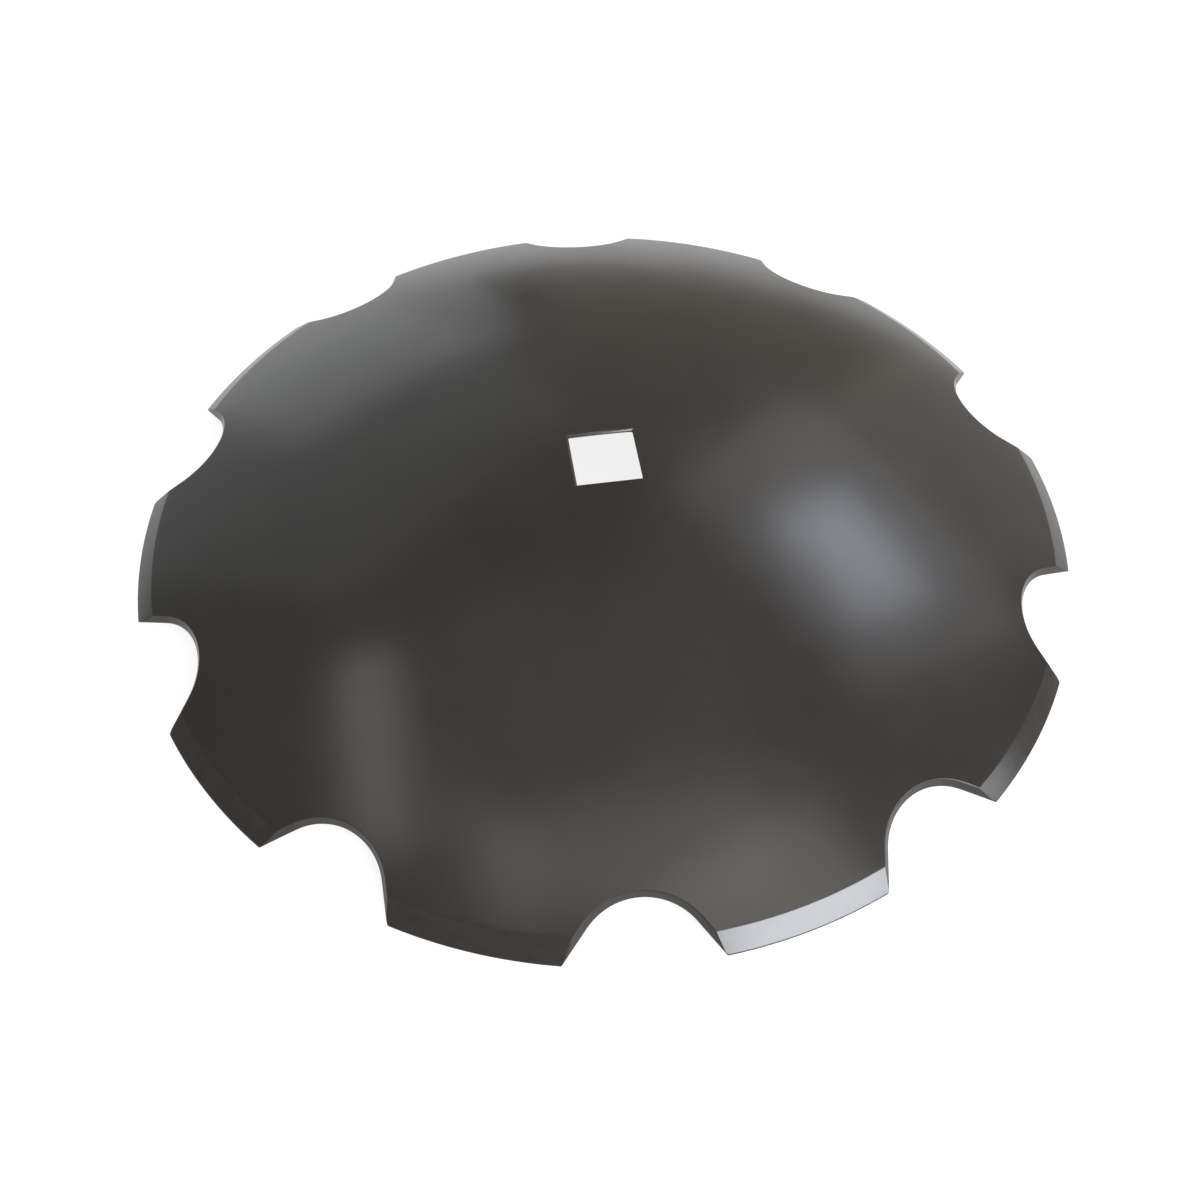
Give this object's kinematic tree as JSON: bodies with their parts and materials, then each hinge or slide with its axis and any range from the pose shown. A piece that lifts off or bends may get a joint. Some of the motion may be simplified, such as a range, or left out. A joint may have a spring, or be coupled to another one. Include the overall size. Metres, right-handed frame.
{
  "type": "harrow disc blade",
  "caption": "Dished steel disc blade with half-round notches round its bevelled rim and a square axle hole at its centre.",
  "frame": {"origin": "on the disc's axis, in the plane of the cutting edge, where the blade rests on its rim", "axes": "+Z along the disc's axis from the hollow side towards the crown; the sides of the square hole run along X and Y"},
  "size_m": [0.56, 0.5586, 0.073],
  "materials": {
    "lacquered_steel": "satin black lacquer over hardened steel"
  },
  "bodies": {
    "root": {"disc_blade": "lacquered_steel"}
  },
  "joints": []
}
